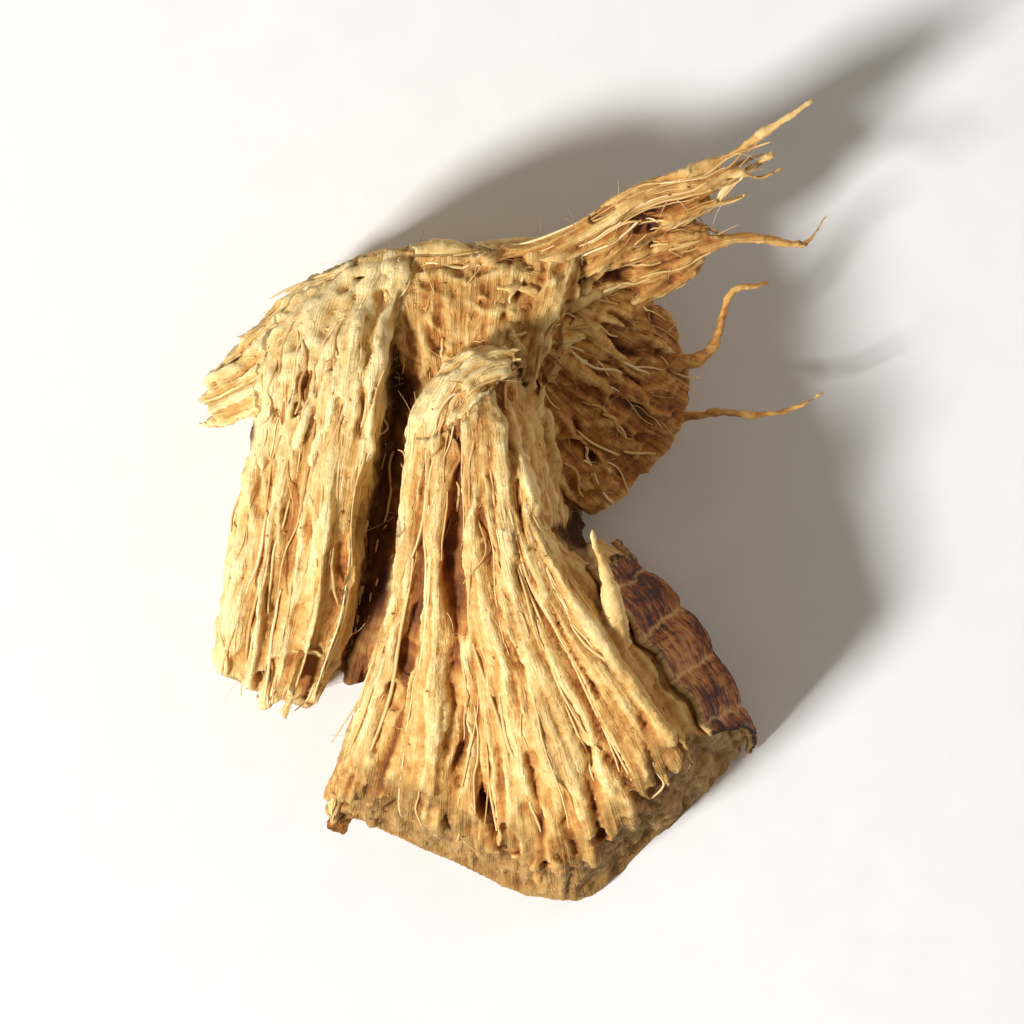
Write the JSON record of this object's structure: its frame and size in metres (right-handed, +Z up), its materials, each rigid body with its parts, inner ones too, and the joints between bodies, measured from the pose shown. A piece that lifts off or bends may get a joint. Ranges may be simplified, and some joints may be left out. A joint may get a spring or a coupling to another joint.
{
  "type": "dried galangal root chip",
  "caption": "Chopped chip of dried galangal root: two fans of stiff fibres with a cleft between them, a frayed tail, brown skin on one side and a flat underside.",
  "frame": {"origin": "middle of the chip's box, on the plane that its flat underside rests on", "axes": "+Z up, +Y towards the frayed tail, away from the knife-cut ends of the fans; +X towards the side that carries the skin"},
  "size_m": [0.0115, 0.0147, 0.0055],
  "materials": {
    "dried_root": "dry, matt, fibrous straw-coloured wood with reddish-brown clefts and a brown skin"
  },
  "bodies": {
    "root": {"galangal_chip": "dried_root"}
  },
  "joints": []
}
